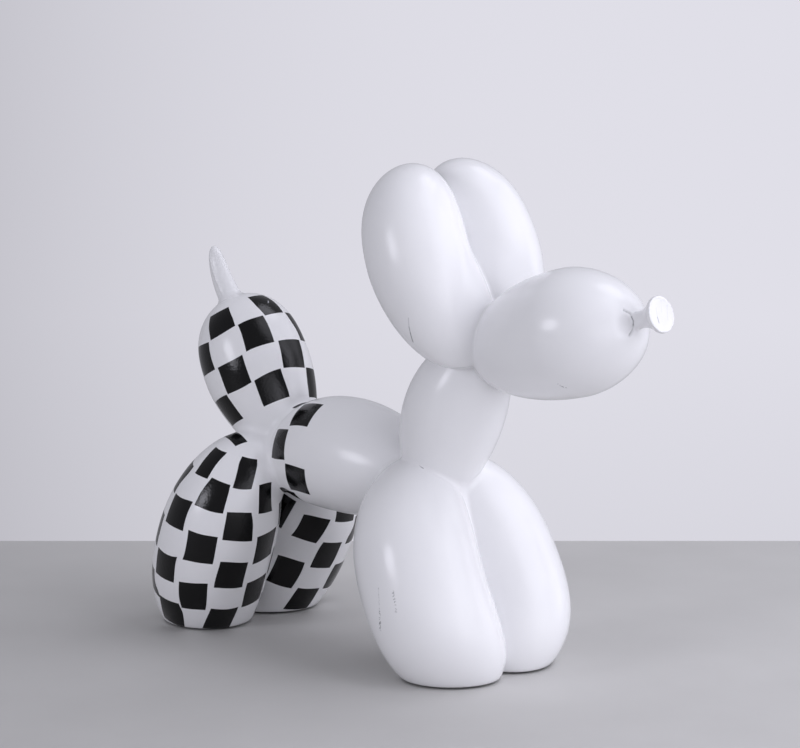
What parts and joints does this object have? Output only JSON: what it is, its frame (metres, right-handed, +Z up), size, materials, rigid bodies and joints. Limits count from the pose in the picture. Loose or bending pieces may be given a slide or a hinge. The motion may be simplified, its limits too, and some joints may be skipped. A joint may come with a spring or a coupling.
{
  "type": "balloon dog ornament",
  "caption": "Tabletop ornament of a dog twisted from a long balloon, cast in one piece with flat soles; white gloss with black checks on its rear half.",
  "frame": {"origin": "on the floor, under the middle of the figure's box", "axes": "+Z up, the snout points along +X, the dog's left side is +Y"},
  "size_m": [0.3006, 0.1154, 0.2399],
  "materials": {
    "gloss_lacquer": "white gloss lacquer over cast resin, with black checks on the hind legs, the tail and the back end of the body"
  },
  "bodies": {
    "root": {"balloon_dog": "gloss_lacquer"}
  },
  "joints": []
}
